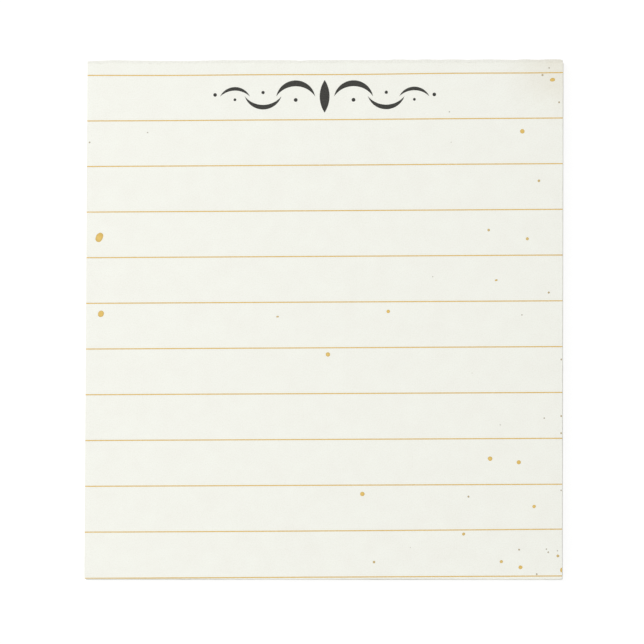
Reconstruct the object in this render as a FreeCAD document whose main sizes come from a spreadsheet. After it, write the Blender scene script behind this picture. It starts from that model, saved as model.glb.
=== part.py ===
import FreeCAD, Part
import math
import os

import Sketcher

# A small tear-off notepad that lies flat on its backing board.
# Frame: millimetres, +Z up from the surface it rests on, +Y towards the glued head, +X to the
# right as it is read. The origin is the middle of the outline, at the underside of the board.
# The sheets and the board are trimmed in one cut. A film of padding glue holds them at the head,
# and a ragged strip of torn paper is left on top of it.

SIZES = (
    ("pad_width", 139.7, "sheets and board, across the ruled lines"),
    ("sheet_length", 152.0, "sheets and board, from the glued head to the foot"),
    ("board_thick", 0.6, "chipboard backing"),
    ("sheet_count", 50, "sheets left on the pad"),
    ("sheet_thick", 0.1, "one sheet with the air under it"),
    ("leaf_gap", 0.02, "air between the edges of two sheets"),
    ("leaf_relief", 0.06, "depth of that gap into the block's sides and foot"),
    ("glue_thick", 0.4, "dried film on the head face"),
    ("trim_corner", 0.4, "radius of the corners as trimmed"),
    ("worn_corner", 0.9, "radius of the rubbed corner, at the head on the right"),
    ("stub_width", 0.7, "furthest reach of the torn strip over the top sheet"),
    ("stub_thick", 0.12, "torn paper above the top sheet"),
    ("stub_step", 1.7, "distance between two kinks of the torn edge"),
    ("ink_thick", 0.04, "printed ink above the top sheet"),
    ("rule_start", 3.8, "head of the sheet to the middle of the first ruled line"),
    ("rule_pitch", 13.43, "middle of one ruled line to the next"),
    ("rule_width", 0.32, "width of a ruled line"),
    ("rule_angle", 0.25, "degrees that the print is turned on the sheet"),
    ("ornament_width", 66.0, "heading ornament from end to end"),
    ("ornament_rise", 9.6, "heading ornament from its lowest to its highest point"),
    ("ornament_drop", 10.4, "head of the sheet to the middle of the ornament"),
    ("speck_radius", 0.65, "a large round speck"),
    ("speck_sides", 10, "straight sides of a speck's dried edge"),
)

# Places that follow from the sizes, as formulas of the sheet above.
PLACES = (
    ("side", "=Sizes.pad_width / 2", "right edge of the sheets, and the left one mirrored"),
    ("film_head", "=(Sizes.sheet_length + Sizes.glue_thick) / 2", "outer face of the glue"),
    ("foot", "=-(Sizes.sheet_length + Sizes.glue_thick) / 2", "foot of sheets and board"),
    ("sheet_head", "=foot + Sizes.sheet_length", "head of the sheets, under the glue"),
    ("block_top", "=Sizes.board_thick + Sizes.sheet_count * Sizes.sheet_thick", "writing surface"),
    ("stub_top", "=block_top + Sizes.stub_thick", "top of the torn strip"),
)

# The specks, in percent of the sheet from its left edge and its head, and in speck radii.
ROUND_SPECKS = (
    (0.6, 15.7, 0.38), (12.8, 13.8, 0.32), (50.9, 56.8, 1.02), (63.5, 48.5, 0.80),
    (58.2, 83.7, 1.03), (60.7, 96.8, 0.58), (68.3, 94.0, 0.23), (76.2, 9.9, 0.31),
    (76.6, 15.8, 0.25), (72.8, 41.8, 0.29), (79.4, 91.4, 0.71), (80.4, 84.2, 0.45),
    (81.1, 60.4, 0.23), (84.5, 32.8, 0.61), (84.9, 76.9, 1.04), (87.0, 70.4, 0.28),
    (87.3, 96.7, 0.73), (90.9, 77.6, 0.98), (91.0, 94.4, 0.42), (91.3, 97.8, 0.92),
    (91.5, 13.7, 1.05), (91.5, 49.2, 0.33), (92.6, 34.5, 0.71), (94.1, 86.1, 0.79),
    (94.7, 99.1, 0.40), (95.0, 23.3, 0.61), (95.7, 2.8, 0.46), (96.2, 69.1, 0.35),
    (96.7, 94.3, 0.34), (97.1, 44.9, 0.47), (97.1, 94.9, 0.38), (97.1, 1.4, 0.36),
    (99.0, 94.6, 0.30), (99.1, 95.6, 0.64), (99.2, 8.1, 0.43), (99.8, 57.8, 0.46),
    (99.8, 68.7, 0.50), (99.8, 83.0, 0.40), (99.8, 72.0, 0.50),
)

# The oval ones: place as above, long and short radius, and the long one's turn from the lines.
OVAL_SPECKS = (
    (2.8, 34.1, 2.24, 1.55, 62.0), (3.2, 48.9, 1.50, 1.30, 55.0), (40.3, 49.5, 0.64, 0.38, 0.0),
    (86.1, 42.5, 0.70, 0.43, 15.0), (97.8, 3.7, 1.26, 0.82, 10.0), (99.9, 98.3, 1.10, 0.76, 90.0),
)

# How much a drop's edge swells in and out, as a share of its radius.
SPECK_UNEVENNESS = 0.2

# The right half of the ornament, in shares of its half width and half rise: each stroke is a
# crescent between two points of the middle line, with the rise of its outer and inner arc.
STROKES = (
    (0.085, 0.430, 0.98, 0.62),
    (0.385, 0.710, -0.80, -0.52),
    (0.665, 0.930, 0.58, 0.36),
)
DOTS = (
    (0.257, -0.22, 0.115), (0.548, 0.24, 0.100), (0.798, -0.20, 0.085), (0.975, 0.10, 0.110),
)
LOZENGE_HALF_WIDTH = 0.30

NODES = (
    "backing_board",
    "sheets",
    "glue_binding",
    "torn_stub",
    "ruled_lines",
    "gold_specks",
    "heading_ornament",
)

UP = FreeCAD.Vector(0, 0, 1)


def new_sheet(doc, name, rows):
    """Fill a spreadsheet with one aliased cell to a row, and its meaning beside it."""
    sheet = doc.addObject("Spreadsheet::Sheet", name)
    for line, (alias, content, meaning) in enumerate(rows, start=1):
        sheet.set(f"A{line}", alias)
        sheet.set(f"B{line}", str(content))
        sheet.setAlias(f"B{line}", alias)
        sheet.set(f"C{line}", meaning)
    doc.recompute()
    return sheet


def new_sketch(body, name, height):
    """Add a sketch on the body's own horizontal plane, lifted to a height."""
    floor = next(plane for plane in body.Origin.OriginFeatures if plane.Role == "XY_Plane")
    sketch = body.newObject("Sketcher::SketchObject", name)
    sketch.AttachmentSupport = [(floor, "")]
    sketch.MapMode = "FlatFace"
    sketch.setExpression("AttachmentOffset.Base.z", height)
    return sketch


def hold(sketch, name, kind, geometry, point, formula, value):
    """Hold one coordinate of a sketch point at a formula, counted from the origin."""
    index = sketch.addConstraint(Sketcher.Constraint(kind, -1, 1, geometry, point, value))
    sketch.renameConstraint(index, name)
    sketch.setExpression(f"Constraints.{name}", formula)


def draw_rectangle(sketch, left, foot, right, head):
    """Draw a closed rectangle. Each side is a pair of its formula and its value now."""
    corners = [
        FreeCAD.Vector(left[1], foot[1], 0),
        FreeCAD.Vector(right[1], foot[1], 0),
        FreeCAD.Vector(right[1], head[1], 0),
        FreeCAD.Vector(left[1], head[1], 0),
    ]
    for start, end in zip(corners, corners[1:] + corners[:1]):
        sketch.addGeometry(Part.LineSegment(start, end), False)
    for side in range(4):
        sketch.addConstraint(Sketcher.Constraint("Coincident", side, 2, (side + 1) % 4, 1))
        direction = "Horizontal" if side % 2 == 0 else "Vertical"
        sketch.addConstraint(Sketcher.Constraint(direction, side))
    hold(sketch, "left", "DistanceX", 0, 1, *left)
    hold(sketch, "foot", "DistanceY", 0, 1, *foot)
    hold(sketch, "right", "DistanceX", 2, 1, *right)
    hold(sketch, "head", "DistanceY", 2, 1, *head)


def draw_rounded_rectangle(sketch, left, foot, right, head, radii):
    """Draw a rectangle whose corners are arcs, from the one at the foot on the right onwards."""
    centres = [
        (right[1] - radii[0][1], foot[1] + radii[0][1]),
        (right[1] - radii[1][1], head[1] - radii[1][1]),
        (left[1] + radii[2][1], head[1] - radii[2][1]),
        (left[1] + radii[3][1], foot[1] + radii[3][1]),
    ]
    arcs = []
    for corner, (x, y) in enumerate(centres):
        circle = Part.Circle(FreeCAD.Vector(x, y, 0), UP, radii[corner][1])
        start = math.radians(90 * (corner - 1))
        arcs.append(Part.ArcOfCircle(circle, start, start + math.pi / 2))
    for corner in range(4):
        before = arcs[corner - 1]
        sketch.addGeometry(Part.LineSegment(before.EndPoint, arcs[corner].StartPoint), False)
        sketch.addGeometry(arcs[corner], False)
    for side in range(4):
        line = 2 * side
        arc = line + 1
        sketch.addConstraint(Sketcher.Constraint("Tangent", line, 2, arc, 1))
        sketch.addConstraint(Sketcher.Constraint("Tangent", arc, 2, (arc + 1) % 8, 1))
        direction = "Horizontal" if side % 2 == 0 else "Vertical"
        sketch.addConstraint(Sketcher.Constraint(direction, line))
    hold(sketch, "foot", "DistanceY", 0, 1, *foot)
    hold(sketch, "right", "DistanceX", 2, 1, *right)
    hold(sketch, "head", "DistanceY", 4, 1, *head)
    hold(sketch, "left", "DistanceX", 6, 1, *left)
    for corner, (formula, radius) in enumerate(radii):
        arc = 2 * corner + 1
        index = sketch.addConstraint(Sketcher.Constraint("Radius", arc, radius))
        sketch.renameConstraint(index, f"corner_{corner}")
        sketch.setExpression(f"Constraints.corner_{corner}", formula)


def new_pad(body, sketch, name, length):
    """Raise a sketch of the body into a plate of the given thickness."""
    pad = body.newObject("PartDesign::Pad", name)
    pad.Profile = sketch
    pad.setExpression("Length", length)
    return pad


def new_plate(doc, name, sides, floor, thickness):
    """Make a rectangular plate as a body of its own."""
    body = doc.addObject("PartDesign::Body", name)
    sketch = new_sketch(body, f"{name}_outline", floor)
    draw_rectangle(sketch, *sides)
    new_pad(body, sketch, f"{name}_plate", thickness)
    return body


def new_boolean(doc, kind, label, base, tool):
    """Combine two shapes with a Part boolean under a label of its own."""
    result = doc.addObject(f"Part::{kind}", label)
    result.Label = label
    result.Base = base
    result.Tool = tool
    return result


def new_group(doc, name, members):
    """Hold several shapes together as one compound."""
    group = doc.addObject("Part::Compound", name)
    group.Links = members
    return group


def new_feature(doc, name, shape):
    """Put a shape that is worked out here into the document."""
    feature = doc.addObject("Part::Feature", name)
    feature.Shape = shape
    feature.Placement = FreeCAD.Placement()
    return feature


def prism(edges, thickness):
    """Raise the face inside a ring of edges."""
    face = Part.Face(Part.Wire(edges))
    return face.extrude(UP * thickness)


def wave(place, seed):
    """Give an uneven but repeatable value from 0 to 1 along the torn edge."""
    slow = math.sin(0.37 * place + seed)
    middle = math.sin(1.13 * place + 2.1 * seed)
    quick = math.sin(2.71 * place + 0.7 * seed)
    return 0.5 + (0.5 * slow + 0.3 * middle + 0.2 * quick) / 2


def crescent(start, end, outer, inner, height, thickness):
    """Make one stroke between two arcs that share both ends."""
    left = FreeCAD.Vector(start[0], start[1], height)
    right = FreeCAD.Vector(end[0], end[1], height)
    middle = (left + right) / 2
    across = (right - left).cross(UP).normalize()
    crown = middle - across * outer
    belly = middle - across * inner
    arcs = [Part.Arc(left, crown, right).toShape(), Part.Arc(right, belly, left).toShape()]
    return prism(arcs, thickness)


def make_board(doc, sides, trim):
    """Make the chipboard, which lies under all the sheets."""
    blank = new_plate(doc, "board_blank", sides, "0", "Sizes.board_thick")
    new_boolean(doc, "Common", "backing_board", blank, trim)


def make_sheets(doc, sides, inner_sides, trim):
    """Make the block of sheets: a core, and the edge of every sheet standing proud of it."""
    body = doc.addObject("PartDesign::Body", "sheet_block")
    core_sketch = new_sketch(body, "core_outline", "Sizes.board_thick")
    draw_rectangle(core_sketch, *inner_sides)
    new_pad(body, core_sketch, "core", "Places.block_top - Sizes.board_thick")
    leaf_sketch = new_sketch(body, "leaf_outline", "Sizes.board_thick + Sizes.leaf_gap")
    draw_rectangle(leaf_sketch, *sides)
    leaf = new_pad(body, leaf_sketch, "leaf", "Sizes.sheet_thick - Sizes.leaf_gap")
    doc.recompute()
    leaves = body.newObject("PartDesign::LinearPattern", "leaves")
    leaves.Originals = [leaf]
    leaves.Direction = (leaf_sketch, ["N_Axis"])
    leaves.setExpression("Length", "(Sizes.sheet_count - 1) * Sizes.sheet_thick")
    leaves.setExpression("Occurrences", "Sizes.sheet_count")
    body.Tip = leaves
    new_boolean(doc, "Common", "sheets", body, trim)


def make_glue(doc, strip_sides, trim):
    """Make the film of dried glue, from the underside of the board to the top sheet."""
    film = new_plate(doc, "glue_film", strip_sides, "0", "Places.block_top")
    new_boolean(doc, "Common", "glue_binding", film, trim)


def make_stub(doc, sizes, places, trim):
    """Make the torn strip, whose front edge runs unevenly over the top sheet."""
    steps = max(2, round(2 * places.side / sizes.stub_step))
    front = []
    for step in range(steps + 1):
        x = -places.side + 2 * places.side * step / steps
        reach = sizes.stub_width * (0.2 + 0.8 * wave(x, 0.8))
        front.append(FreeCAD.Vector(x, places.sheet_head - reach, places.block_top))
    back = [
        FreeCAD.Vector(places.side, places.film_head, places.block_top),
        FreeCAD.Vector(-places.side, places.film_head, places.block_top),
    ]
    outline = Part.makePolygon(front + back + front[:1])
    strip = prism(outline.Edges, sizes.stub_thick)
    new_boolean(doc, "Common", "torn_stub", new_feature(doc, "stub_strip", strip), trim)


def make_print_zone(doc, sides, trim):
    """Make the layer of the top sheet that ink can lie in, clear of the torn strip."""
    left, foot, right, head = sides
    clear_head = ("Places.sheet_head - Sizes.stub_width", head[1])
    layer_sides = (left, foot, right, clear_head)
    layer = new_plate(doc, "print_layer", layer_sides, "Places.block_top", "Sizes.ink_thick")
    return new_boolean(doc, "Common", "print_zone", layer, trim)


def make_ornament(doc, sizes, places, zone):
    """Make the heading ornament: a lozenge, and a wave with dots that fades to each side."""
    half_width = sizes.ornament_width / 2
    half_rise = sizes.ornament_rise / 2
    middle = places.sheet_head - sizes.ornament_drop
    level = places.block_top
    lozenge = crescent(
        (0, middle - half_rise), (0, middle + half_rise),
        LOZENGE_HALF_WIDTH * half_rise, -LOZENGE_HALF_WIDTH * half_rise, level, sizes.ink_thick,
    )
    shapes = [lozenge]
    for side in (-1, 1):
        for near, far, outer, inner in STROKES:
            ends = sorted((side * near * half_width, side * far * half_width))
            shapes.append(crescent(
                (ends[0], middle), (ends[1], middle),
                outer * half_rise, inner * half_rise, level, sizes.ink_thick,
            ))
        for across, up, radius in DOTS:
            centre = FreeCAD.Vector(side * across * half_width, middle + up * half_rise, level)
            shapes.append(Part.makeCylinder(radius * half_rise, sizes.ink_thick, centre, UP))
    drawn = shapes[0].multiFuse(shapes[1:]).removeSplitter()
    return new_boolean(doc, "Common", "heading_ornament", new_feature(doc, "strokes", drawn), zone)


def make_rules(doc, sizes, places, zone, ornament):
    """Make the ruled lines, as many as the sheet has room for, turned together a little."""
    count = 1 + max(0, math.floor((sizes.sheet_length - sizes.rule_start) / sizes.rule_pitch))
    overrun = "(Sizes.pad_width + Sizes.rule_pitch)"
    bars = []
    for number in range(count):
        bar = doc.addObject("Part::Box", f"rule_{number + 1}")
        middle = f"Places.sheet_head - Sizes.rule_start - {number} * Sizes.rule_pitch"
        bar.setExpression("Length", overrun)
        bar.setExpression("Width", "Sizes.rule_width")
        bar.setExpression("Height", "Sizes.ink_thick")
        bar.setExpression("Placement.Base.x", f"-{overrun} / 2")
        bar.setExpression("Placement.Base.y", f"{middle} - Sizes.rule_width / 2")
        bar.setExpression("Placement.Base.z", "Places.block_top")
        bars.append(bar)
    rules = new_group(doc, "rules", bars)
    rules.setExpression("Placement.Rotation.Angle", "Sizes.rule_angle")
    on_sheet = new_boolean(doc, "Common", "rules_on_sheet", rules, zone)
    return new_boolean(doc, "Cut", "ruled_lines", on_sheet, ornament)


def droplet(sizes, long_share, short_share):
    """Make one speck about the origin, a flat dried drop with a slightly uneven edge."""
    sides = max(3, round(sizes.speck_sides))
    long_radius = sizes.speck_radius * long_share
    short_radius = sizes.speck_radius * short_share
    edge = []
    for side in range(sides):
        angle = 2 * math.pi * side / sides
        swell = 1 + SPECK_UNEVENNESS * (wave(7 * long_share + side, 0.4) - 0.5)
        x = long_radius * swell * math.cos(angle)
        y = short_radius * swell * math.sin(angle)
        edge.append(FreeCAD.Vector(x, y, 0))
    return prism(Part.makePolygon(edge + edge[:1]).Edges, sizes.ink_thick)


def make_specks(doc, sizes, places, zone, rules, ornament):
    """Make the specks, which end where a line or the ornament is printed over them."""
    rounds = [(across, down, share, share, 0.0) for across, down, share in ROUND_SPECKS]
    shapes = []
    for across, down, long_share, short_share, turn in rounds + list(OVAL_SPECKS):
        x = places.side * (2 * across / 100 - 1)
        y = places.sheet_head - sizes.sheet_length * down / 100
        speck = droplet(sizes, long_share, short_share)
        place = FreeCAD.Vector(x, y, places.block_top)
        speck.Placement = FreeCAD.Placement(place, FreeCAD.Rotation(UP, turn))
        shapes.append(speck)
    spatter = new_feature(doc, "spatter", shapes[0].multiFuse(shapes[1:]))
    on_sheet = new_boolean(doc, "Common", "specks_on_sheet", spatter, zone)
    below_rules = new_boolean(doc, "Cut", "specks_below_rules", on_sheet, rules)
    new_boolean(doc, "Cut", "gold_specks", below_rules, ornament)


def check(doc):
    """Stop if any object failed to build, or a sub-part's shape is empty or broken."""
    for item in doc.Objects:
        if "Invalid" in item.State or "Error" in item.State:
            raise RuntimeError(f"{item.Label} failed: {item.State}")
    for node in NODES:
        shape = doc.getObjectsByLabel(node)[0].Shape
        if shape.isNull() or not shape.isValid() or not shape.Solids:
            raise RuntimeError(f"{node} has no valid solid")


def main():
    """Build the notepad and write one file to each sub-part."""
    doc = FreeCAD.newDocument("notepad")
    sizes = new_sheet(doc, "Sizes", SIZES)
    places = new_sheet(doc, "Places", PLACES)

    left = ("-Places.side", -places.side)
    right = ("Places.side", places.side)
    foot = ("Places.foot", places.foot)
    head = ("Places.sheet_head", places.sheet_head)
    film = ("Places.film_head", places.film_head)
    relief = sizes.leaf_relief
    sides = (left, foot, right, head)
    inner_sides = (
        ("-Places.side + Sizes.leaf_relief", relief - places.side),
        ("Places.foot + Sizes.leaf_relief", places.foot + relief),
        ("Places.side - Sizes.leaf_relief", places.side - relief),
        head,
    )
    trimmed = ("Sizes.trim_corner", sizes.trim_corner)
    worn = ("Sizes.worn_corner", sizes.worn_corner)

    trim = doc.addObject("PartDesign::Body", "trim_outline")
    trim_sketch = new_sketch(trim, "trim_cut", "0")
    draw_rounded_rectangle(trim_sketch, left, foot, right, film, (trimmed, worn, trimmed, trimmed))
    new_pad(trim, trim_sketch, "trim_prism", "Places.stub_top + Sizes.ink_thick")

    make_board(doc, sides, trim)
    make_sheets(doc, sides, inner_sides, trim)
    make_glue(doc, (left, head, right, film), trim)
    make_stub(doc, sizes, places, trim)
    zone = make_print_zone(doc, sides, trim)
    ornament = make_ornament(doc, sizes, places, zone)
    rules = make_rules(doc, sizes, places, zone, ornament)
    make_specks(doc, sizes, places, zone, rules, ornament)
    doc.recompute()
    check(doc)

    os.makedirs("parts", exist_ok=True)
    for node in NODES:
        shape = doc.getObjectsByLabel(node)[0].Shape
        shape.exportStep(f"parts/{node}.step")
        box = shape.BoundBox
        print(f"{node}: {len(shape.Solids)} solids, {shape.Volume:.2f} mm3, "
              f"z {box.ZMin:.2f} to {box.ZMax:.2f}")


main()
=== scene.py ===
"""A small tear-off ruled notepad: its looks, built around the fixed frame.

Metres, +Z up, +Y towards the glued head, origin under the middle of the backing board. The pad
lies flat. Every piece follows the frame: a chipboard back, a block of single sheets, the top
sheet with its print, the film of padding glue on the head and the torn strip above it.
"""

import logging
import math
import random
from contextlib import contextmanager
from dataclasses import dataclass, field
from enum import Enum
from typing import Callable, Iterator

import bmesh
import bpy
from mathutils import Matrix, Vector
from mathutils import noise


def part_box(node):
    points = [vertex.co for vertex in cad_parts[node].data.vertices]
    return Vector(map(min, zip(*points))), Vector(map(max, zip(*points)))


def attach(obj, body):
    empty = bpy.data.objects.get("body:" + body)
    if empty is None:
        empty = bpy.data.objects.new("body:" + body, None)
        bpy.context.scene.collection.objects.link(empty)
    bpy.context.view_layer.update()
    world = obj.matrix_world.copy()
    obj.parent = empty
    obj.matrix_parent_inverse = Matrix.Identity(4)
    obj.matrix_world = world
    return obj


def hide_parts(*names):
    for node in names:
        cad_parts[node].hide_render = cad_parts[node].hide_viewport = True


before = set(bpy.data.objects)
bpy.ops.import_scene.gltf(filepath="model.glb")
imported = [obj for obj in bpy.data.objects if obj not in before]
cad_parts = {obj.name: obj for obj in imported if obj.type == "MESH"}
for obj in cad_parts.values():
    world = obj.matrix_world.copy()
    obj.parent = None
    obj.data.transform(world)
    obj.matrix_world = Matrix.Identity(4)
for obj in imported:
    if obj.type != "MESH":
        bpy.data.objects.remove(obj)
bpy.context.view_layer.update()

# Short names for what most signatures name.
Tree = bpy.types.NodeTree
Socket = bpy.types.NodeSocket
Material = bpy.types.Material
Piece = bpy.types.Object
Stops = tuple[tuple[float, str], ...]

LOG = logging.getLogger("notepad")
MM = 0.001
# Points closer than TOUCH are one point, and points within NEAR of an edge lie on it.
TOUCH = 0.001 * MM
NEAR = 0.01 * MM
CORNER_STEPS = 5
FRAME_PIXELS = 644
SENSOR_WIDTH_MM = 36.0


class Slot(Enum):
    """Names of the record's material slots for the pieces' finishes."""

    CHIPBOARD = "chipboard"
    PAPER = "writing_paper"
    GLUE = "padding_glue"
    TORN = "torn_paper"
    LINE = "gold_line_ink"
    SPECK = "gold_speck_ink"
    CHARCOAL = "charcoal_ink"


@dataclass(frozen=True)
class Extent:
    """The lowest and highest corner of a node of the frame.

    Args:
        low: Lowest x, y and z in metres.
        high: Highest x, y and z in metres.
    """

    low: Vector
    high: Vector

    @classmethod
    def of(cls, node: str) -> "Extent":
        """Read a node's corners from the frame."""
        low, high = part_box(node)
        return cls(Vector(low), Vector(high))

    @property
    def middle(self) -> Vector:
        """Give the point half way between the corners."""
        return (self.low + self.high) / 2

    @property
    def span(self) -> Vector:
        """Give the size along each axis."""
        return self.high - self.low


BOARD = Extent.of("backing_board")
BLOCK = Extent.of("sheets")
FILM = Extent.of("glue_binding")
STUB = Extent.of("torn_stub")


def linear(code: str) -> tuple[float, float, float, float]:
    """Turn an sRGB hex colour into the linear values that a shader takes.

    Args:
        code: Six hex digits after a hash sign.

    Returns:
        Linear red, green, blue and an alpha of one.
    """
    channels = []
    for start in (1, 3, 5):
        value = int(code[start:start + 2], 16) / 255
        low = value / 12.92
        high = ((value + 0.055) / 1.055) ** 2.4
        channels.append(low if value <= 0.04045 else high)
    return (channels[0], channels[1], channels[2], 1.0)


def repeats_per_metre(size_mm: float) -> float:
    """Give a texture's scale for a pattern whose features are this many millimetres wide."""
    return 1000.0 / size_mm


def add_node(
    tree: Tree, kind: str, settings: dict | None = None, links: dict | None = None
) -> bpy.types.Node:
    """Add a shader node with its settings and what feeds its inputs.

    Args:
        tree: The node tree to add to.
        kind: The node's type.
        settings: Values by name. A lower-case name is a property, any other an input.
        links: The output that feeds each input, by the input's name or number.

    Returns:
        The new node.
    """
    node = tree.nodes.new(kind)
    for name, value in (settings or {}).items():
        if isinstance(name, str) and name.islower():
            setattr(node, name, value)
        else:
            node.inputs[name].default_value = value
    for name, source in (links or {}).items():
        tree.links.new(source, node.inputs[name])
    return node


def add_ramp(tree: Tree, source: Socket, stops: Stops) -> Socket:
    """Colour a value with a ramp.

    Args:
        tree: The node tree to add to.
        source: The value to colour.
        stops: Place and hex colour of each stop.

    Returns:
        The ramp's colour output.
    """
    ramp = add_node(tree, "ShaderNodeValToRGB", links={"Fac": source})
    elements = ramp.color_ramp.elements
    while len(elements) < len(stops):
        elements.new(0.5)
    for element, (place, code) in zip(elements, stops):
        element.position = place
        element.color = linear(code)
    return ramp.outputs["Color"]


def mix_colours(tree: Tree, share: Socket, under: Socket, over: Socket) -> Socket:
    """Lay one colour over another.

    Args:
        tree: The node tree to add to.
        share: How much of the upper colour shows.
        under: The lower colour.
        over: The upper colour.

    Returns:
        The mixed colour.
    """
    links = {0: share, 6: under, 7: over}
    return add_node(tree, "ShaderNodeMix", {"data_type": "RGBA"}, links).outputs[2]


def multiply_colours(tree: Tree, first: Socket, second: Socket) -> Socket:
    """Darken one colour by another.

    Args:
        tree: The node tree to add to.
        first: The colour.
        second: What it is multiplied by.

    Returns:
        The product.
    """
    settings = {"data_type": "RGBA", "blend_type": "MULTIPLY", 0: 1.0}
    return add_node(tree, "ShaderNodeMix", settings, {6: first, 7: second}).outputs[2]


def map_range(
    tree: Tree, value: Socket, given: tuple[float, float], wanted: tuple[float, float]
) -> Socket:
    """Turn one range of a value into another, and hold it at the ends.

    Args:
        tree: The node tree to add to.
        value: The value.
        given: Where it starts and ends.
        wanted: What that becomes.

    Returns:
        The new value.
    """
    names = ("From Min", "From Max", "To Min", "To Max")
    settings = dict(zip(names, given + wanted))
    return add_node(tree, "ShaderNodeMapRange", settings, {"Value": value}).outputs["Result"]


@dataclass(frozen=True)
class Finish:
    """What all finishes share: a principled shader, and patterns on object coordinates.

    Args:
        name: Name of the material.
        roughness: Roughness of the surface.
        ior: Index of refraction.
        specular: Specular level.
    """

    name: str = "finish"
    roughness: float = 0.8
    ior: float = 1.5
    specular: float = 0.5

    NOISE_ROUGHNESS = 0.55

    def start(self) -> tuple[Material, Tree, bpy.types.Node]:
        """Make the material with its shader.

        Returns:
            The material, its node tree and its principled shader.
        """
        material = bpy.data.materials.new(self.name)
        material.use_nodes = True
        tree = material.node_tree
        shader = tree.nodes["Principled BSDF"]
        shader.inputs["Roughness"].default_value = self.roughness
        shader.inputs["IOR"].default_value = self.ior
        shader.inputs["Specular IOR Level"].default_value = self.specular
        return material, tree, shader

    @staticmethod
    def noise_of(
        tree: Tree,
        size_mm: float,
        detail: float = 3.0,
        stretch: tuple[float, float, float] = (1.0, 1.0, 1.0),
    ) -> Socket:
        """Add noise whose features have a real size.

        Args:
            tree: The node tree to add to.
            size_mm: Width of the features in millimetres.
            detail: Octaves of finer noise on top.
            stretch: How many times closer the features lie along each axis.

        Returns:
            The noise value, about 0.5 on average.
        """
        place = add_node(tree, "ShaderNodeTexCoord").outputs["Object"]
        if stretch != (1.0, 1.0, 1.0):
            place = add_node(
                tree, "ShaderNodeMapping", {"Scale": stretch}, {"Vector": place}
            ).outputs["Vector"]
        pattern = add_node(
            tree,
            "ShaderNodeTexNoise",
            {
                "Scale": repeats_per_metre(size_mm),
                "Detail": detail,
                "Roughness": Finish.NOISE_ROUGHNESS,
            },
            {"Vector": place},
        )
        return pattern.outputs["Fac"]

    @staticmethod
    def add_bump(
        tree: Tree,
        shader: bpy.types.Node,
        height: Socket,
        depth_mm: float,
        strength: float,
    ) -> None:
        """Raise the surface by a pattern.

        Args:
            tree: The node tree to add to.
            shader: The shader whose normal is bent.
            height: The pattern.
            depth_mm: Real depth of the pattern in millimetres.
            strength: Share of that depth that shows.
        """
        settings = {"Strength": strength, "Distance": depth_mm * MM}
        bump = add_node(tree, "ShaderNodeBump", settings, {"Height": height})
        tree.links.new(bump.outputs["Normal"], shader.inputs["Normal"])


@dataclass(frozen=True)
class PaintedCornerShade:
    """Painted shade: a faint grey-brown darkening at the head corner on the right, where that
    corner bends away from the light.

    Args:
        middle: The corner.
        reach_mm: How far the painted shade reaches from it.
        patch_mm: Width of its uneven patches.
        faintest: Share of the painted shade that its palest patches have.
        deepest: Hex colour that the paper is darkened by at the corner.
    """

    middle: Vector = Vector((BLOCK.high.x, BLOCK.high.y, BLOCK.high.z))
    reach_mm: float = 21.0
    patch_mm: float = 5.0
    faintest: float = 0.55
    deepest: str = "#F6F2EC"

    def over(self, tree: Tree, paper: Socket) -> Socket:
        """Lay the painted shade over a colour.

        Args:
            tree: The node tree to add to.
            paper: Colour of the paper without the painted shade.

        Returns:
            Colour of the paper with the painted shade.
        """
        place = add_node(tree, "ShaderNodeTexCoord").outputs["Object"]
        corner = add_node(
            tree, "ShaderNodeVectorMath", {"operation": "DISTANCE", 1: self.middle}, {0: place}
        )
        fade = add_node(
            tree,
            "ShaderNodeMapRange",
            {
                "interpolation_type": "SMOOTHSTEP",
                "From Min": 0.0,
                "From Max": self.reach_mm * MM,
                "To Min": 1.0,
                "To Max": 0.0,
            },
            {"Value": corner.outputs["Value"]},
        )
        patches = Finish.noise_of(tree, self.patch_mm, detail=4.0)
        uneven = map_range(tree, patches, (0.3, 0.7), (self.faintest, 1.0))
        links = {0: fade.outputs["Result"], 1: uneven}
        share = add_node(tree, "ShaderNodeMath", {"operation": "MULTIPLY"}, links)
        # Painted shade: grey-brown darkening, strongest at the head corner on the right and uneven
        # in patches.
        shade = add_ramp(tree, share.outputs["Value"], ((0.0, "#FFFFFF"), (1.0, self.deepest)))
        return multiply_colours(tree, paper, shade)


@dataclass(frozen=True)
class WritingPaper(Finish):
    """Uncoated ivory offset paper of 80 g/m2: matt, cloudy against the light, with fine tooth.

    Args:
        cloud_mm: Width of the clouds that the fibres form.
        cloud_shades: Colours of the clouds.
        tooth_mm: Width of the tooth, drawn coarser than the real 0.1 mm so that it shows.
        tooth_shades: How the tooth darkens the paper.
        tooth_depth_mm: Depth of the tooth.
        painted_corner_shade: The painted shade at its corner at the head on the right.
    """

    name: str = "uncoated_writing_paper"
    roughness: float = 0.88
    ior: float = 1.47
    specular: float = 0.25
    cloud_mm: float = 6.0
    cloud_shades: Stops = ((0.30, "#F5F5ED"), (0.70, "#F7F8F0"))
    tooth_mm: float = 0.35
    tooth_shades: Stops = ((0.25, "#F8F8F6"), (0.60, "#FEFEFE"))
    tooth_depth_mm: float = 0.03
    painted_corner_shade: PaintedCornerShade = PaintedCornerShade()

    def make(self) -> Material:
        """Build the material.

        Returns:
            The material.
        """
        material, tree, shader = self.start()
        clouds = add_ramp(tree, self.noise_of(tree, self.cloud_mm), self.cloud_shades)
        tooth = self.noise_of(tree, self.tooth_mm, detail=2.0)
        grain = add_ramp(tree, tooth, self.tooth_shades)
        # Painted shade: the paper is darkened towards its corner at the head on the right.
        with_painted_shade = self.painted_corner_shade.over(tree, multiply_colours(tree, clouds, grain))
        tree.links.new(with_painted_shade, shader.inputs["Base Color"])
        self.add_bump(tree, shader, tooth, self.tooth_depth_mm, strength=0.25)
        return material


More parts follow.
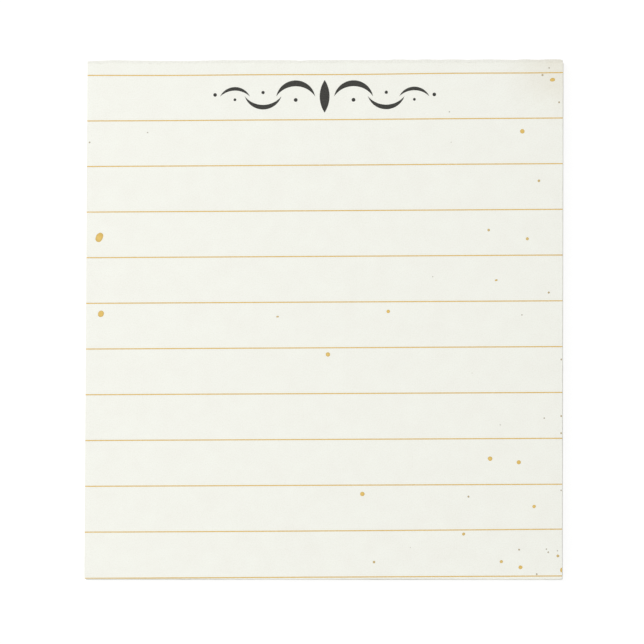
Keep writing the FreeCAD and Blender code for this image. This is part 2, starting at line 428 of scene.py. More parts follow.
@dataclass(frozen=True)
class PrintedInk(Finish):
    """Offset ink on uncoated paper: matt, and a little paler where the paper's tooth shows.

    Args:
        full: Hex colour of a full layer of ink.
        worn: Hex colour where the tooth shows through.
        metallic: Share of metal flake in the ink.
        grain_mm: Width of the paler spots.
        grain_depth_mm: Depth of the spots.
    """

    name: str = "ink"
    roughness: float = 0.6
    ior: float = 1.5
    specular: float = 0.3
    full: str = "#D8B45F"
    worn: str = "#E2C686"
    metallic: float = 0.0
    grain_mm: float = 0.4
    grain_depth_mm: float = 0.01

    def make(self) -> Material:
        """Build the material.

        Returns:
            The material.
        """
        material, tree, shader = self.start()
        shader.inputs["Metallic"].default_value = self.metallic
        grain = self.noise_of(tree, self.grain_mm)
        ink = add_ramp(tree, grain, ((0.42, self.full), (0.75, self.worn)))
        tree.links.new(ink, shader.inputs["Base Color"])
        self.add_bump(tree, shader, grain, self.grain_depth_mm, strength=0.3)
        return material


@dataclass(frozen=True)
class SpeckInk(PrintedInk):
    """Gold spatter: each drop dries darker at its rim, and the finest to a dull grey brown.

    Args:
        patch_mm: Width of the patches that each of these colours varies in.
        rim: Colours of a drop's rim, where the pigment gathers.
        dull: Colours of the fine drops.
        faint: Colours of the very finest, through which the paper shows.
    """

    name: str = "gold_spatter_ink"
    full: str = "#E0BB62"
    worn: str = "#E8C776"
    patch_mm: float = 0.8
    rim: Stops = ((0.3, "#CBAB5E"), (0.8, "#D5B668"))
    dull: Stops = ((0.3, "#969282"), (0.8, "#A8A392"))
    faint: Stops = ((0.3, "#D2D0C4"), (0.8, "#DAD8CD"))

    def make(self) -> Material:
        """Build the material, with what differs from drop to drop read from the mesh.

        Returns:
            The material.
        """
        material = super().make()
        tree = material.node_tree
        shader = tree.nodes["Principled BSDF"]
        colour = shader.inputs["Base Color"].links[0].from_socket
        patches = self.noise_of(tree, self.patch_mm)
        layers = (
            (Specks.RIM, self.rim), (Specks.DULLNESS, self.dull), (Specks.FAINTNESS, self.faint)
        )
        for name, stops in layers:
            share = add_node(tree, "ShaderNodeAttribute", {"attribute_name": name})
            over = add_ramp(tree, patches, stops)
            colour = mix_colours(tree, share.outputs["Fac"], colour, over)
        tree.links.new(colour, shader.inputs["Base Color"])
        return material


@dataclass(frozen=True)
class Chipboard(Finish):
    """Pale grey recycled board: rough, with dark and pale flecks of old print and fibre.

    Args:
        fibre_mm: Length of the fibres, along the board's grain.
        fibre_shades: Colours of the fibres.
        fleck_mm: Width of the flecks.
        soot_range: Values of the noise at which the dark flecks start and are full.
        soot_share: How strongly they cover the board.
        soot_shades: Their colours.
        chalk_range: Values of the noise at which the pale flecks start and are full.
        chalk_share: How strongly they cover the board.
        chalk_shades: Their colours.
        depth_mm: Depth of the rough surface.
    """

    name: str = "recycled_chipboard"
    roughness: float = 0.93
    ior: float = 1.45
    specular: float = 0.2
    fibre_mm: float = 1.1
    fibre_shades: Stops = ((0.25, "#B3AA9B"), (0.5, "#C5BDAF"), (0.8, "#D2CBBF"))
    fleck_mm: float = 0.5
    soot_range: tuple[float, float] = (0.66, 0.72)
    soot_share: float = 0.7
    soot_shades: Stops = ((0.0, "#7A7367"), (1.0, "#8F877A"))
    chalk_range: tuple[float, float] = (0.33, 0.28)
    chalk_share: float = 0.6
    chalk_shades: Stops = ((0.0, "#E0DBD0"), (1.0, "#E8E4DA"))
    depth_mm: float = 0.06

    def make(self) -> Material:
        """Build the material.

        Returns:
            The material.
        """
        material, tree, shader = self.start()
        fibres = self.noise_of(tree, self.fibre_mm, detail=5.0, stretch=(1.0, 0.35, 1.0))
        colour = add_ramp(tree, fibres, self.fibre_shades)
        flecks = self.noise_of(tree, self.fleck_mm, detail=2.0, stretch=(1.0, 0.6, 1.0))
        dark = map_range(tree, flecks, self.soot_range, (0.0, self.soot_share))
        pale = map_range(tree, flecks, self.chalk_range, (0.0, self.chalk_share))
        for share, stops in ((dark, self.soot_shades), (pale, self.chalk_shades)):
            colour = mix_colours(tree, share, colour, add_ramp(tree, fibres, stops))
        tree.links.new(colour, shader.inputs["Base Color"])
        self.add_bump(tree, shader, fibres, self.depth_mm, strength=0.5)
        return material


@dataclass(frozen=True)
class PaddingGlue(Finish):
    """Brushed-on PVA padding glue, dried to a satin off-white film with brush marks.

    Args:
        body_mm: Width of the cloudy places in the film.
        body_shades: Colours of those places.
        glow: Share of the light that passes through the film's surface.
        glow_mm: How far red, green and blue light pass under it.
        stroke_mm: Width of the brush marks.
        stroke_depth_mm: Depth of the brush marks.
    """

    name: str = "dried_padding_glue"
    roughness: float = 0.42
    ior: float = 1.46
    specular: float = 0.45
    body_mm: float = 3.0
    body_shades: Stops = ((0.3, "#DFDDD2"), (0.7, "#EBEAE1"))
    glow: float = 0.15
    glow_mm: tuple[float, float, float] = (0.4, 0.35, 0.3)
    stroke_mm: float = 0.5
    stroke_depth_mm: float = 0.05

    def make(self) -> Material:
        """Build the material.

        Returns:
            The material.
        """
        material, tree, shader = self.start()
        shader.inputs["Subsurface Weight"].default_value = self.glow
        shader.inputs["Subsurface Radius"].default_value = [reach * MM for reach in self.glow_mm]
        body = self.noise_of(tree, self.body_mm, detail=4.0, stretch=(1.0, 1.0, 2.0))
        tree.links.new(add_ramp(tree, body, self.body_shades), shader.inputs["Base Color"])
        strokes = self.noise_of(tree, self.stroke_mm, stretch=(0.12, 1.0, 1.0))
        self.add_bump(tree, shader, strokes, self.stroke_depth_mm, strength=0.6)
        return material


@dataclass(frozen=True)
class TornPaper(Finish):
    """The torn edge of writing paper in dried glue: dull, fluffy and a little grey.

    Args:
        fluff_mm: Width of the fluffy tufts.
        fluff_shades: Colours of the tufts.
        fluff_depth_mm: Depth of the tufts.
        painted_corner_shade: The painted shade at its end on the right, by the head corner.
    """

    name: str = "torn_paper_fibre"
    roughness: float = 0.95
    ior: float = 1.45
    specular: float = 0.15
    fluff_mm: float = 0.45
    fluff_shades: Stops = ((0.3, "#E9E9E0"), (0.55, "#F0F0E8"), (0.8, "#F5F5EE"))
    fluff_depth_mm: float = 0.03
    painted_corner_shade: PaintedCornerShade = PaintedCornerShade()

    def make(self) -> Material:
        """Build the material.

        Returns:
            The material.
        """
        material, tree, shader = self.start()
        fluff = self.noise_of(tree, self.fluff_mm, detail=4.0)
        # Painted shade: the torn strip is darkened towards its end on the right, by the head
        # corner.
        paper = self.painted_corner_shade.over(tree, add_ramp(tree, fluff, self.fluff_shades))
        tree.links.new(paper, shader.inputs["Base Color"])
        self.add_bump(tree, shader, fluff, self.fluff_depth_mm, strength=0.5)
        return material


@contextmanager
def editing(piece: Piece, mode: str = "VERT") -> Iterator[bmesh.types.BMesh]:
    """Open a piece in edit mode, with nothing selected.

    Args:
        piece: The object to edit.
        mode: The select mode, VERT, EDGE or FACE.

    Yields:
        The piece's edit mesh.
    """
    bpy.ops.object.select_all(action="DESELECT")
    piece.select_set(True)
    bpy.context.view_layer.objects.active = piece
    bpy.ops.object.mode_set(mode="EDIT")
    bpy.ops.mesh.select_mode(type=mode)
    bpy.ops.mesh.select_all(action="DESELECT")
    try:
        yield bmesh.from_edit_mesh(piece.data)
    finally:
        bpy.ops.object.mode_set(mode="OBJECT")


def select_where(
    piece: Piece,
    elements: bmesh.types.BMVertSeq | bmesh.types.BMEdgeSeq,
    test: Callable[[object], bool],
) -> None:
    """Select the vertices or edges of an edited piece that pass a test.

    Args:
        piece: The object in edit mode.
        elements: Its vertices or edges.
        test: Says which of them are selected.
    """
    for element in elements:
        if test(element):
            element.select_set(True)
    bmesh.update_edit_mesh(piece.data)


def new_piece(name: str, add: Callable, **options: object) -> Piece:
    """Add a primitive with nothing else selected.

    Args:
        name: Name of the piece.
        add: The operator that adds the primitive.
        options: The operator's own options.

    Returns:
        The new object.
    """
    bpy.ops.object.select_all(action="DESELECT")
    add(**options)
    piece = bpy.context.object
    piece.name = name
    piece.data.name = name
    return piece


def move_vertices(piece: Piece, mover: Callable[[Vector], Vector]) -> None:
    """Shape a mesh by moving each of its vertices.

    Args:
        piece: The object to shape.
        mover: Gives a vertex's new place from its old one.
    """
    for vertex in piece.data.vertices:
        vertex.co = mover(vertex.co)
    piece.data.update()


def new_grid(name: str, steps: tuple[int, int], span: Vector | None = None) -> Piece:
    """Add a flat grid about the origin.

    Args:
        name: Name of the piece.
        steps: Number of stretches along the width and the length.
        span: Width and length, or none for a unit square.

    Returns:
        The new object.
    """
    grid = new_piece(
        name, bpy.ops.mesh.primitive_grid_add, x_subdivisions=steps[0], y_subdivisions=steps[1],
        size=1.0,
    )
    if span:
        with editing(grid):
            bpy.ops.mesh.select_all(action="SELECT")
            bpy.ops.transform.resize(value=(span.x, span.y, 1.0))
    return grid


def new_outline_plate(
    name: str, span: Vector, steps: tuple[int, int], corners: tuple[float, float, float, float]
) -> Piece:
    """Make a flat rectangle about the origin as one face, with points along its sides.

    Args:
        name: Name of the piece.
        span: Width and length.
        steps: Number of stretches along the width and the length.
        corners: Radius of the corners, counter-clockwise from the foot on the left.

    Returns:
        The new object.
    """
    plate = new_grid(name, steps)
    with editing(plate) as mesh:
        select_where(plate, mesh.verts, lambda vertex: not vertex.is_boundary)
        bpy.ops.mesh.delete(type="VERT")
        bpy.ops.mesh.select_all(action="SELECT")
        bpy.ops.mesh.edge_face_add()
        bpy.ops.transform.resize(value=(span.x, span.y, 1.0))
    round_corners(plate, span, corners)
    return plate


def round_corners(
    plate: Piece, span: Vector, corners: tuple[float, float, float, float]
) -> None:
    """Round the four corners of a flat plate that lies about the origin.

    Args:
        plate: The plate, in object mode.
        span: Its width and length.
        corners: Radius of the corners, counter-clockwise from the foot on the left.
    """
    ways = ((-1, -1), (1, -1), (1, 1), (-1, 1))
    for (way_x, way_y), radius in zip(ways, corners):
        corner = Vector((way_x * span.x / 2, way_y * span.y / 2, 0.0))
        with editing(plate) as mesh:
            select_where(plate, mesh.verts, lambda vertex: (vertex.co - corner).length < NEAR)
            bpy.ops.mesh.bevel(offset=radius, segments=CORNER_STEPS, affect="VERTICES")


def raise_plate(plate: Piece, thickness: float) -> None:
    """Give a flat plate its thickness, upwards.

    Args:
        plate: The plate, in object mode.
        thickness: Its thickness.
    """
    with editing(plate, "FACE"):
        bpy.ops.mesh.select_all(action="SELECT")
        bpy.ops.mesh.extrude_region_move(TRANSFORM_OT_translate={"value": (0, 0, thickness)})
        bpy.ops.mesh.select_all(action="SELECT")
        bpy.ops.mesh.normals_make_consistent(inside=False)


def join(pieces: list[Piece], name: str) -> Piece:
    """Join objects into one piece.

    Args:
        pieces: The objects.
        name: Name of the joined piece.

    Returns:
        The joined object.
    """
    bpy.ops.object.select_all(action="DESELECT")
    for piece in pieces:
        piece.select_set(True)
    bpy.context.view_layer.objects.active = pieces[0]
    bpy.ops.object.join()
    joined = bpy.context.object
    joined.name = name
    joined.data.name = name
    return joined


def dress(piece: Piece, material: Material, slot: Slot, *nodes: str) -> Piece:
    """Give a piece its material and its body, and hide the frame's nodes that it stands for.

    Args:
        piece: The finished piece.
        material: Its material.
        slot: The record's slot for its finish. Not used.
        nodes: The frame's nodes that it stands for.

    Returns:
        The same piece.
    """
    piece.data.materials.clear()
    piece.data.materials.append(material)
    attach(piece, "root")
    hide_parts(*nodes)
    return piece


@dataclass(frozen=True)
class Relief:
    """How far the used top sheet lies below the flat top of the block.

    It only ever goes down, so that the pad stays inside its box.

    Args:
        cockle: Depth of the faint waves that damp air leaves in paper.
        cockle_length: Length of those waves.
        corner_sag: Depth of the rubbed corner, at the head on the right.
        corner_reach: How far that corner's bend reaches.
        edge_sag: Depth of the pressed edges.
        edge_reach: How far the pressed edges reach.
        shrinkage: How much narrower than the block the dry top sheet is, on the left.
        taper: How fast that fades from sheet to sheet, as a power.
    """

    cockle: float = 0.07 * MM
    cockle_length: float = 38 * MM
    corner_sag: float = 0.42 * MM
    corner_reach: float = 13 * MM
    edge_sag: float = 0.05 * MM
    edge_reach: float = 1.6 * MM
    shrinkage: float = 0.09 * MM
    taper: int = 8

    def draw_in(self, x: float, share: float) -> float:
        """Give how far a point of a sheet moves to the right, where the sheets have shrunk.

        Args:
            x: The point's place on a sheet of full width.
            share: The sheet's place in the block, 0 at the board and 1 at the top.

        Returns:
            The distance.
        """
        return self.shrinkage * (0.5 - x / BLOCK.span.x) * share ** self.taper

    def depth(self, x: float, y: float) -> float:
        """Give the depth below the flat top at a place on the sheet.

        Args:
            x: The place across the sheet.
            y: The place along it.

        Returns:
            The depth.
        """
        waves = noise.noise(Vector((x, y, 0.0)) / self.cockle_length)
        from_corner = math.hypot(BLOCK.high.x - x, BLOCK.high.y - y)
        corner = self.corner_sag * math.exp(-((from_corner / self.corner_reach) ** 2))
        to_edge = min(BLOCK.high.x - abs(x), y - BLOCK.low.y)
        edge = self.edge_sag * math.exp(-max(to_edge, 0.0) / self.edge_reach)
        return self.cockle * (0.5 + 0.5 * waves) + corner + edge

    def level(self, x: float, y: float) -> float:
        """Give the height of the top sheet's upper face at a place."""
        return BLOCK.high.z - self.depth(x, y)


@dataclass
class BackingBoard:
    """The chipboard back, cut with a slightly rough edge.

    Args:
        steps: Stretches along its width and its length.
        corner: Radius of its corners.
        worn_corner: Radius of the rubbed corner.
        bevel: Width of the soft edge that the knife leaves.
        bevel_steps: Stretches across that edge.
        roughness: Furthest that the cut edge draws in.
        notches: How close the notches of the cut edge lie, per metre.
    """

    RIM_ANGLE = math.radians(60)

    steps: tuple[int, int] = (70, 76)
    corner: float = 0.4 * MM
    worn_corner: float = 0.6 * MM
    bevel: float = 0.05 * MM
    bevel_steps: int = 2
    roughness: float = 0.05 * MM
    notches: float = 900.0

    def build(self) -> Piece:
        """Model the board and dress it.

        Returns:
            The board.
        """
        board = new_outline_plate(
            "chipboard_back", BOARD.span, self.steps,
            (self.corner, self.corner, self.worn_corner, self.corner),
        )
        raise_plate(board, BOARD.span.z)
        with editing(board, "EDGE") as mesh:
            select_where(board, mesh.edges, self.is_rim)
            bpy.ops.mesh.bevel(offset=self.bevel, segments=self.bevel_steps, affect="EDGES")
        move_vertices(board, self.place)
        return dress(board, Chipboard().make(), Slot.CHIPBOARD, "backing_board")

    def is_rim(self, edge: bmesh.types.BMEdge) -> bool:
        """Say whether an edge lies along the rim of the top or bottom face."""
        return edge.calc_face_angle(0.0) > self.RIM_ANGLE

    def place(self, at: Vector) -> Vector:
        """Set a point of the board in its place, with its cut edge drawn in unevenly.

        Args:
            at: The point on the plain board.

        Returns:
            Its place.
        """
        draw_in = self.roughness * (0.5 + 0.5 * noise.noise(at * self.notches))
        x = at.x - math.copysign(draw_in, at.x)
        y = at.y - math.copysign(draw_in, at.y)
        return Vector((x + BOARD.middle.x, y + BOARD.middle.y, at.z + BOARD.low.z))


@dataclass
class SheetBlock:
    """The sheets under the top one, each a thin plate of its own, trimmed almost flush.

    Args:
        relief: The relief of the top sheet, which fades towards the board.
        count: Sheets on the pad, with the top one.
        thickness: Thickness of one sheet's paper.
        steps: Stretches along a sheet's width and length.
        wander: Furthest that a sheet lies to one side.
        drift: Share of that which changes slowly from sheet to sheet. The rest is chance.
        drift_rate: How fast it changes, in radians a sheet.
        drift_start: Where it starts, in radians.
        uneven: Furthest that a sheet is short of the foot.
        corner: Radius of its corners.
        worn_corner: Radius of the rubbed corner.
        seed: Seed of the sheets' small shifts.
    """

    relief: Relief
    count: int = 50
    thickness: float = 0.094 * MM
    steps: tuple[int, int] = (35, 38)
    wander: float = 0.04 * MM
    drift: float = 0.75
    drift_rate: float = 0.23
    drift_start: float = 0.9
    uneven: float = 0.10 * MM
    corner: float = 0.4 * MM
    worn_corner: float = 0.55 * MM
    seed: int = 11

    @property
    def pitch(self) -> float:
        """Give the height from one sheet to the next."""
        return BLOCK.span.z / self.count

    def build(self, paper: Material) -> Piece:
        """Model one sheet, copy it for the whole block and dress the result.

        Args:
            paper: Material of the sheets.

        Returns:
            The block.
        """
        span = BLOCK.span - Vector((2 * self.wander, 0.0, 0.0))
        first = new_outline_plate(
            "sheet", span, self.steps,
            (self.corner, self.corner, self.worn_corner, self.corner),
        )
        raise_plate(first, self.thickness)
        shifts = random.Random(self.seed)
        sheets = []
        for number in range(self.count - 1):
            sheet = bpy.data.objects.new(f"sheet_{number}", first.data.copy())
            bpy.context.collection.objects.link(sheet)
            drift = math.sin(self.drift_rate * number + self.drift_start)
            sideways = self.drift * drift + (1 - self.drift) * shifts.uniform(-1, 1)
            short = shifts.uniform(0.0, 1.0)
            self.lay(sheet, number, sideways * self.wander, short * self.uneven)
            sheets.append(sheet)
        bpy.data.objects.remove(first)
        return dress(join(sheets, "sheet_block"), paper, Slot.PAPER, "sheets")

    def lay(self, sheet: Piece, number: int, sideways: float, short: float) -> None:
        """Set one sheet in the block.

        Args:
            sheet: The sheet, about the origin.
            number: Its number from the board, from 0.
            sideways: How far it lies to the right.
            short: How far it ends before the foot.
        """
        base = BLOCK.low.z + (number + 1) * self.pitch - self.thickness
        share = (number + 1) / self.count

        def place(at: Vector) -> Vector:
            """Set a point in the block.

            Args:
                at: The point on the plain sheet.

            Returns:
                Its place.
            """
            x = at.x + sideways + self.relief.draw_in(at.x, share) + BLOCK.middle.x
            to_foot = 0.5 - at.y / BLOCK.span.y
            y = at.y + short * to_foot + BLOCK.middle.y
            return Vector((x, y, at.z + base - share * self.relief.depth(x, y)))

        move_vertices(sheet, place)


@dataclass
class TopSheet:
    """The sheet that is written on next, with the faint relief of used paper.

    Args:
        relief: The sheet's relief.
        thickness: Thickness of its paper.
        steps: Stretches along its width and its length.
        inset: How far its sides lie inside the block's.
        corner: Radius of its corners.
        worn_corner: Radius of the rubbed corner.
    """

    relief: Relief
    thickness: float = 0.094 * MM
    steps: tuple[int, int] = (90, 98)
    inset: float = 0.03 * MM
    corner: float = 0.4 * MM
    worn_corner: float = 0.7 * MM

    def build(self, paper: Material) -> Piece:
        """Model the top sheet and dress it.

        Args:
            paper: Material of the sheet.

        Returns:
            The sheet.
        """
        span = BLOCK.span - Vector((2 * self.inset, 0.0, 0.0))
        sheet = new_grid("top_sheet", self.steps, span)
        round_corners(sheet, span, (self.corner, self.corner, self.worn_corner, self.corner))
        raise_plate(sheet, self.thickness)
        move_vertices(sheet, self.place)
        return dress(sheet, paper, Slot.PAPER, "sheets")

    def place(self, at: Vector) -> Vector:
        """Set a point of the sheet on the block.

        Args:
            at: The point on the plain sheet.

        Returns:
            Its place.
        """
        x = at.x + self.relief.draw_in(at.x, 1.0) + BLOCK.middle.x
        y = at.y + BLOCK.middle.y
        return Vector((x, y, at.z - self.thickness + self.relief.level(x, y)))


@dataclass
class RuledLines:
    """The gold ruled lines, which run off both sides of the sheet.

    Args:
        relief: The relief of the sheet that they are printed on.
        first: Head of the sheet to the middle of the first line.
        pitch: One line to the next.
        width: Width of a line.
        turn: How far the print is turned on the sheet, in radians.
        thickness: Thickness of the ink.
        steps: Stretches along a line and across it.
        bow: How far the first line bows down, where the glue has cockled the paper.
        waver: How far it wavers besides.
        waver_length: Length of one radian of that.
        waver_start: Where it starts, in radians.
        calming: How fast both fade from line to line.
        strays: How far the ends of a line that strays rise, on the left and right, by its number.
        overrun: How far a line is printed past the sides, where it is cut off.
        margin: How far from the sides it is cut.
        foot_margin: How far from the foot it stays.
        grain_mm: Width of the paler spots in its ink.
    """

    relief: Relief
    first: float = 3.80 * MM
    pitch: float = 13.43 * MM
    width: float = 0.31 * MM
    turn: float = math.radians(0.25)
    thickness: float = 0.025 * MM
    steps: tuple[int, int] = (120, 2)
    bow: float = 0.17 * MM
    waver: float = 0.05 * MM
    waver_length: float = 8.5 * MM
    waver_start: float = 0.6
    calming: float = 1.2
    strays: dict[int, tuple[float, float]] = field(
        default_factory=lambda: {10: (0.0, 0.32 * MM), 11: (-0.10 * MM, 0.08 * MM)}
    )
    overrun: float = 0.5 * MM
    margin: float = 0.04 * MM
    foot_margin: float = 0.02 * MM
    grain_mm: float = 0.5

    def build(self) -> Piece:
        """Print the lines on the sheet and dress them.

        Returns:
            The lines.
        """
        count = 1 + math.floor((BLOCK.span.y - self.first) / self.pitch)
        lines = [self.print_line(number) for number in range(count)]
        printed = join(lines, "gold_rules")
        ink = PrintedInk(name="gold_rule_ink", grain_mm=self.grain_mm)
        return dress(printed, ink.make(), Slot.LINE, "ruled_lines")

    def print_line(self, number: int) -> Piece:
        """Print one line.

        Args:
            number: Its number from the head, from 0.

        Returns:
            The line as an object.
        """
        span = Vector((BLOCK.span.x + 2 * self.overrun, self.width, 0.0))
        line = new_grid(f"rule_{number}", self.steps, span)
        raise_plate(line, self.thickness)
        middle = BLOCK.high.y - self.first - number * self.pitch
        fade = math.exp(-self.calming * number)
        rise_left, rise_right = self.strays.get(number, (0.0, 0.0))
        left = BLOCK.low.x + self.relief.shrinkage + self.margin
        right = BLOCK.high.x - self.margin

        def place(at: Vector) -> Vector:
            """Set a point on the sheet.

            Args:
                at: The point on the plain line.

            Returns:
                Its place.
            """
            x = at.x * math.cos(self.turn) - (at.y + middle) * math.sin(self.turn)
            x = min(max(x, left), right)
            y = at.x * math.sin(self.turn) + (at.y + middle) * math.cos(self.turn)
            bow = self.bow * math.cos(math.pi * at.x / span.x)
            waver = self.waver * math.sin(at.x / self.waver_length + self.waver_start)
            y += rise_left * (0.5 - at.x / span.x) ** 2 + rise_right * (0.5 + at.x / span.x) ** 2
            y -= fade * (bow + waver)
            y = max(y, BLOCK.low.y + self.foot_margin)
            return Vector((x, y, at.z + self.relief.level(x, y)))

        move_vertices(line, place)
        return line


@dataclass(frozen=True)
class Drop:
    """The oval that one drop of the spatter fills.

    Args:
        middle: Its middle.
        long: Half its length.
        short: Half its width.
        turn: Angle of its length from the lines, in radians.
    """

    middle: Vector
    long: float
    short: float
    turn: float

    CUT_SLENDERNESS = 0.7

    @classmethod
    def around(cls, points: list[Vector]) -> "Drop":
        """Fit an oval to the points of a drop's edge.

        A drop that the trimmed edge has cut is taken for the whole drop that it was.

        Args:
            points: The points.

        Returns:
            The oval.
        """
        count = len(points)
        middle = sum(points, Vector()) / count
        xx = sum((point.x - middle.x) ** 2 for point in points) / count
        yy = sum((point.y - middle.y) ** 2 for point in points) / count
        xy = sum((point.x - middle.x) * (point.y - middle.y) for point in points) / count
        spread = math.hypot((xx - yy) / 2, xy)
        long = math.sqrt(2 * ((xx + yy) / 2 + spread))
        short = math.sqrt(2 * max((xx + yy) / 2 - spread, 0.0))
        turn = math.atan2(2 * xy, xx - yy) / 2
        if max(point.x for point in points) > BLOCK.high.x - NEAR:
            half = (max(point.y for point in points) - min(point.y for point in points)) / 2
            across = cls.CUT_SLENDERNESS * half
            left = min(point.x for point in points)
            return cls(Vector((left + across, middle.y, 0.0)), half, across, math.pi / 2)
        return cls(middle, long, short, turn)

    @classmethod
    def of_node(cls, node: str) -> list["Drop"]:
        """Find the drops of a node.

        Args:
            node: Name of the frame's node.

        Returns:
            Its drops, from the left.
        """
        mesh = bmesh.new()
        mesh.from_mesh(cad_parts[node].data)
        bmesh.ops.remove_doubles(mesh, verts=mesh.verts, dist=TOUCH)
        waiting = set(mesh.verts)
        drops = []
        for first in list(mesh.verts):
            if first not in waiting:
                continue
            waiting.remove(first)
            group = [first]
            for vertex in group:
                for edge in vertex.link_edges:
                    other = edge.other_vert(vertex)
                    if other in waiting:
                        waiting.remove(other)
                        group.append(other)
            drops.append(cls.around([vertex.co.copy() for vertex in group]))
        mesh.free()
        return sorted(drops, key=lambda drop: tuple(drop.middle))


@dataclass
class Specks:
    """The scattered gold drops. Their places and sizes are read from the frame's node.

    Args:
        relief: The relief of the sheet that they are printed on.
        sides: Points around a drop.
        thickness: Thickness of a drop's middle.
        rings: Share of a drop's radius at the foot of its edge and at each ring above.
        uneven: How much a drop's edge swells in and out, as a share of its radius.
        lobes: How often it does so, as the radius of its path through the noise.
        noise_span: Length of noise along which those paths are scattered.
        rim_start: Share of a drop's radius at which its darker rim starts.
        rim_rate: How fast the rim darkens from there.
        gold_from: Radius from which a drop is clear gold.
        dull_below: Radius below which a drop is dull.
        thin_below: Radius below which a drop starts to let the paper show.
        finest: Radius of the faintest drops.
        grain_mm: Width of the paler patches in the ink.
        margin: How far from the sheet's right side a drop is cut.
        seed: Seed of the drops' uneven edges.
    """

    relief: Relief
    sides: int = 24
    thickness: float = 0.03 * MM
    rings: tuple[float, ...] = (1.0, 0.90, 0.72, 0.45, 0.15)
    uneven: float = 0.09
    lobes: float = 1.3
    noise_span: float = 50.0
    rim_start: float = 0.75 / 1.7
    rim_rate: float = 1.7
    gold_from: float = 0.52 * MM
    dull_below: float = 0.20 * MM
    thin_below: float = 0.27 * MM
    finest: float = 0.15 * MM
    grain_mm: float = 0.9
    margin: float = 0.05 * MM
    seed: int = 5

    DULLNESS = "dullness"
    FAINTNESS = "faintness"
    RIM = "rim"

    def build(self) -> Piece:
        """Print the drops on the sheet and dress them.

        Returns:
            The drops.
        """
        chance = random.Random(self.seed)
        drops = [self.print_drop(drop, chance) for drop in Drop.of_node("gold_specks")]
        ink = SpeckInk(grain_mm=self.grain_mm)
        return dress(join(drops, "gold_drops"), ink.make(), Slot.SPECK, "gold_specks")

    def print_drop(self, drop: Drop, chance: random.Random) -> Piece:
        """Print one drop, slightly domed, and cut it at the sheet's edge.

        Args:
            drop: The oval that it fills.
            chance: Source of its uneven edge.

        Returns:
            The drop as an object.
        """
        piece = new_piece(
            "drop", bpy.ops.mesh.primitive_circle_add, vertices=self.sides, radius=1.0,
            fill_type="NGON",
        )
        rise = self.thickness / (len(self.rings) - 1)
        with editing(piece, "FACE"):
            bpy.ops.mesh.select_all(action="SELECT")
            for outer, inner in zip(self.rings, self.rings[1:]):
                bpy.ops.mesh.extrude_region_move(TRANSFORM_OT_translate={"value": (0, 0, rise)})
                bpy.ops.transform.resize(value=(inner / outer, inner / outer, 1.0))
            bpy.ops.mesh.select_all(action="SELECT")
            bpy.ops.mesh.normals_make_consistent(inside=False)
        shares = [vertex.co.xy.length for vertex in piece.data.vertices]
        rim = [max(0.0, self.rim_rate * (share - self.rim_start)) for share in shares]
        self.mark(piece, self.RIM, rim)
        for name, clear, full in (
            (self.DULLNESS, self.gold_from, self.dull_below),
            (self.FAINTNESS, self.thin_below, self.finest),
        ):
            level = min(max((clear - drop.long) / (clear - full), 0.0), 1.0)
            self.mark(piece, name, [level] * len(shares))
        offset = chance.uniform(0.0, self.noise_span)
        turned = Matrix.Rotation(drop.turn, 3, "Z")

        def place(at: Vector) -> Vector:
            """Set a point on the sheet.

            Args:
                at: The point on the round drop of unit radius.

            Returns:
                Its place.
            """
            angle = math.atan2(at.y, at.x)
            around = Vector((math.cos(angle), math.sin(angle), offset))
            swell = 1.0 + self.uneven * noise.noise(around * self.lobes)
            flat = turned @ Vector((at.x * drop.long * swell, at.y * drop.short * swell, 0.0))
            x = drop.middle.x + flat.x
            y = drop.middle.y + flat.y
            return Vector((x, y, at.z + self.relief.level(x, y)))

        move_vertices(piece, place)
        with editing(piece):
            bpy.ops.mesh.select_all(action="SELECT")
            bpy.ops.mesh.bisect(
                plane_co=(BLOCK.high.x - self.margin, 0.0, 0.0), plane_no=(1.0, 0.0, 0.0),
                use_fill=True, clear_outer=True, threshold=TOUCH,
            )
        return piece

    @staticmethod
    def mark(piece: Piece, name: str, values: list[float]) -> None:
        """Write a value to each point of a mesh, for its material to read.

        Args:
            piece: The object.
            name: Name of the attribute.
            values: The values, in the order of the points.
        """
        attribute = piece.data.attributes.new(name, "FLOAT", "POINT")
        attribute.data.foreach_set("value", values)


@dataclass(frozen=True)
class Arc:
    """A circular arc over a level chord.

    Args:
        start: Left end of the chord.
        end: Right end of the chord.
        rise: Height of the arc's middle over the chord, below it where negative.
    """

    start: float
    end: float
    rise: float

    def point(self, share: float) -> tuple[float, float]:
        """Find a point of the arc.

        Args:
            share: Share of the way along the arc, from the left.

        Returns:
            The point's x and y.
        """
        half = (self.end - self.start) / 2
        tall = abs(self.rise)
        radius = (half * half + tall * tall) / (2 * tall)
        spread = 2 * math.atan2(tall, half)
        angle = (2 * share - 1) * spread
        x = (self.start + self.end) / 2 + radius * math.sin(angle)
        y = tall - radius + radius * math.cos(angle)
        return x, math.copysign(1.0, self.rise) * y


